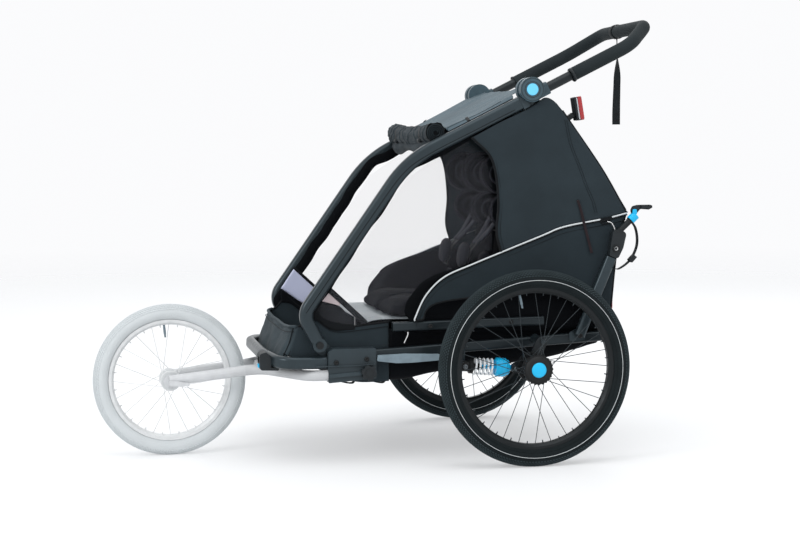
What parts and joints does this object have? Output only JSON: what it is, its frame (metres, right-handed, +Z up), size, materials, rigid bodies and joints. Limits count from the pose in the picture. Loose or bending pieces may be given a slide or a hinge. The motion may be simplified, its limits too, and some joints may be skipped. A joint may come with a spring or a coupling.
{
  "type": "child bicycle trailer",
  "caption": "Two-seat child trailer with suspended wheels, soft cabin, folding roof frame, push handlebar and detachable jogger wheel.",
  "frame": {"origin": "on the ground at the middle of the trailer's length and width", "axes": "+X to the rear, +Y to the trailer's right-hand side, +Z up"},
  "size_m": [1.5022, 0.874, 1.1631],
  "materials": {
    "tyre": "matte ribbed rubber",
    "jogger_tyre": "matte pale grey rubber",
    "bright_alloy": "satin alloy",
    "black_alloy": "satin black",
    "white_paint": "gloss white",
    "steel": "bright steel",
    "hub_plastic": "matte moulded",
    "frame_alloy": "brushed anodised",
    "gunmetal": "satin dark grey",
    "black_plastic": "matte moulded",
    "grey_plastic": "matte moulded",
    "blue_plastic": "satin blue",
    "dark_fabric": "coated woven",
    "roof_fabric": "coated woven",
    "seat_fabric": "padded woven",
    "webbing": "ribbed webbing",
    "window_film": "clear film",
    "foam": "matte foam",
    "fork_paint": "satin pale grey",
    "red_lens": "red lens"
  },
  "bodies": {
    "chassis": {"side_rails": "frame_alloy", "front_bumper": "gunmetal", "cross_members": "steel", "receiver_castings": "black_plastic", "frame_bolts": "steel", "step_plates": "grey_plastic", "hitch_receptor": "black_plastic", "seat_rails": "frame_alloy", "footwell": "dark_fabric", "belly_tray": "dark_fabric", "lower_panels": "dark_fabric", "seat_cushions": "seat_fabric", "rear_posts": "gunmetal", "rear_knuckles": "black_plastic", "release_collars": "blue_plastic", "tail_reflector": "red_lens"},
    "roof_frame": {"roof_tubes": "gunmetal", "handle_sockets": "black_plastic", "roof_fabric": "roof_fabric", "rolled_cover": "dark_fabric", "side_fabrics": "dark_fabric", "side_windows": "window_film", "rear_upper_fabric": "dark_fabric", "tail_light": "red_lens", "backrests": "seat_fabric", "harness": "webbing"},
    "struts": {"rear_struts": "gunmetal"},
    "handlebar": {"handlebar_tube": "gunmetal", "handlebar_grip": "foam", "handle_hubs": "black_plastic"},
    "strap": {"wrist_strap": "webbing"},
    "tow_button": {"hitch_button": "blue_plastic"},
    "pedal": {"brake_pedal": "grey_plastic"},
    "fork": {"jogger_fork": "fork_paint"},
    "front_wheel": {"front_tyre": "jogger_tyre", "front_rim": "bright_alloy", "front_spokes": "steel", "front_hub": "bright_alloy"},
    "left_button": {"left_handle_button": "blue_plastic"},
    "left_lever": {"left_release_lever": "black_plastic"},
    "left_arm": {"left_swing_arm": "black_plastic"},
    "left_shock_body": {"left_damper": "black_plastic"},
    "left_cup": {"left_shock_cup": "blue_plastic", "left_spring": "white_paint"},
    "left_wheel": {"left_tyre": "tyre", "left_rim": "black_alloy", "left_spokes": "steel", "left_hub": "hub_plastic"},
    "left_knob": {"left_star_knob": "black_plastic"},
    "right_button": {"right_handle_button": "blue_plastic"},
    "right_lever": {"right_release_lever": "black_plastic"},
    "right_arm": {"right_swing_arm": "black_plastic"},
    "right_shock_body": {"right_damper": "black_plastic"},
    "right_cup": {"right_shock_cup": "blue_plastic", "right_spring": "white_paint"},
    "right_wheel": {"right_tyre": "tyre", "right_rim": "black_alloy", "right_spokes": "steel", "right_hub": "hub_plastic"},
    "right_knob": {"right_star_knob": "black_plastic"}
  },
  "joints": [
    {"name": "roof_fold", "type": "hinge", "parent": "chassis", "child": "roof_frame", "pos_m": [-0.1847, 0, 0.316], "axis": [0, 1, 0], "range_deg": [0, 21], "deforming": ["backrests", "harness", "side_fabrics", "side_windows", "rear_upper_fabric"]},
    {"name": "rear_strut_fold", "type": "hinge", "parent": "roof_frame", "child": "struts", "pos_m": [0.4173, 0, 0.925], "axis": [0, 1, 0], "range_deg": [0, 72]},
    {"name": "handlebar_tilt", "type": "hinge", "parent": "roof_frame", "child": "handlebar", "pos_m": [0.3793, 0, 0.969], "axis": [0, 1, 0], "range_deg": [-120, 7]},
    {"name": "wrist_strap_swing", "type": "hinge", "parent": "handlebar", "child": "strap", "pos_m": [0.73072, 0.052, 1.14268], "axis": [0, 1, 0], "range_deg": [-7, 120]},
    {"name": "left_button_press", "type": "slide", "parent": "handlebar", "child": "left_button", "axis": [0, 1, 0], "range_m": [0, 0.004], "stiffness_N_per_m": 800},
    {"name": "left_lever_release", "type": "hinge", "parent": "chassis", "child": "left_lever", "pos_m": [0.6583, -0.295, 0.649], "axis": [0, 1, 0], "range_deg": [-70, 0]},
    {"name": "left_suspension", "type": "hinge", "parent": "chassis", "child": "left_arm", "pos_m": [0.3893, -0.35, 0.316], "axis": [0, 1, 0], "range_deg": [0, 10], "stiffness_Nm_per_rad": 500, "springref_deg": -3.44},
    {"name": "left_shock_tilt", "type": "hinge", "parent": "chassis", "child": "left_shock_body", "pos_m": [0.1833, -0.334, 0.257], "axis": [0, 1, 0], "range_deg": [-8, 0.5]},
    {"name": "left_shock_travel", "type": "slide", "parent": "left_shock_body", "child": "left_cup", "axis": [-0.9978, 0, 0.0665], "range_m": [-0.0002, 0.0125], "deforming": ["left_spring"]},
    {"name": "left_wheel_spin", "type": "hinge", "parent": "left_arm", "child": "left_wheel", "pos_m": [0.3553, -0.397, 0.253], "axis": [0, 1, 0], "continuous": true},
    {"name": "left_knob_turn", "type": "hinge", "parent": "chassis", "child": "left_knob", "pos_m": [-0.0607, -0.294, 0.243], "axis": [0, 1, 0], "continuous": true},
    {"name": "right_button_press", "type": "slide", "parent": "handlebar", "child": "right_button", "axis": [0, -1, 0], "range_m": [0, 0.004], "stiffness_N_per_m": 800},
    {"name": "right_lever_release", "type": "hinge", "parent": "chassis", "child": "right_lever", "pos_m": [0.6583, 0.295, 0.649], "axis": [0, 1, 0], "range_deg": [-70, 0]},
    {"name": "right_suspension", "type": "hinge", "parent": "chassis", "child": "right_arm", "pos_m": [0.3893, 0.35, 0.316], "axis": [0, 1, 0], "range_deg": [0, 10], "stiffness_Nm_per_rad": 500, "springref_deg": -3.44},
    {"name": "right_shock_tilt", "type": "hinge", "parent": "chassis", "child": "right_shock_body", "pos_m": [0.1833, 0.334, 0.257], "axis": [0, 1, 0], "range_deg": [-8, 0.5]},
    {"name": "right_shock_travel", "type": "slide", "parent": "right_shock_body", "child": "right_cup", "axis": [-0.9978, 0, 0.0665], "range_m": [-0.0002, 0.0125], "deforming": ["right_spring"]},
    {"name": "right_wheel_spin", "type": "hinge", "parent": "right_arm", "child": "right_wheel", "pos_m": [0.3553, 0.397, 0.253], "axis": [0, 1, 0], "continuous": true},
    {"name": "right_knob_turn", "type": "hinge", "parent": "chassis", "child": "right_knob", "pos_m": [-0.0607, 0.294, 0.243], "axis": [0, 1, 0], "continuous": true},
    {"name": "tow_button_press", "type": "slide", "parent": "chassis", "child": "tow_button", "axis": [1, 0, 0], "range_m": [0, 0.003], "stiffness_N_per_m": 800},
    {"name": "brake_pedal_press", "type": "hinge", "parent": "chassis", "child": "pedal", "pos_m": [0.5953, -0.225, 0.31772], "axis": [0, 1, 0], "range_deg": [0, 20]},
    {"name": "fork_pull", "type": "slide", "parent": "chassis", "child": "fork", "axis": [-0.9987, 0, -0.0512], "range_m": [0, 0.12]},
    {"name": "front_wheel_spin", "type": "hinge", "parent": "fork", "child": "front_wheel", "pos_m": [-0.5487, 0, 0.2025], "axis": [0, 1, 0], "continuous": true}
  ],
  "couplings": [
    {"joint": "rear_strut_fold", "follows": "roof_fold", "ratio": 3.4},
    {"joint": "wrist_strap_swing", "follows": "handlebar_tilt", "ratio": -1},
    {"joint": "left_shock_tilt", "follows": "left_suspension", "ratio": -0.5823},
    {"joint": "left_shock_travel", "follows": "left_suspension", "m_per_rad": 0.06276},
    {"joint": "right_shock_tilt", "follows": "right_suspension", "ratio": -0.5823},
    {"joint": "right_shock_travel", "follows": "right_suspension", "m_per_rad": 0.06276}
  ]
}
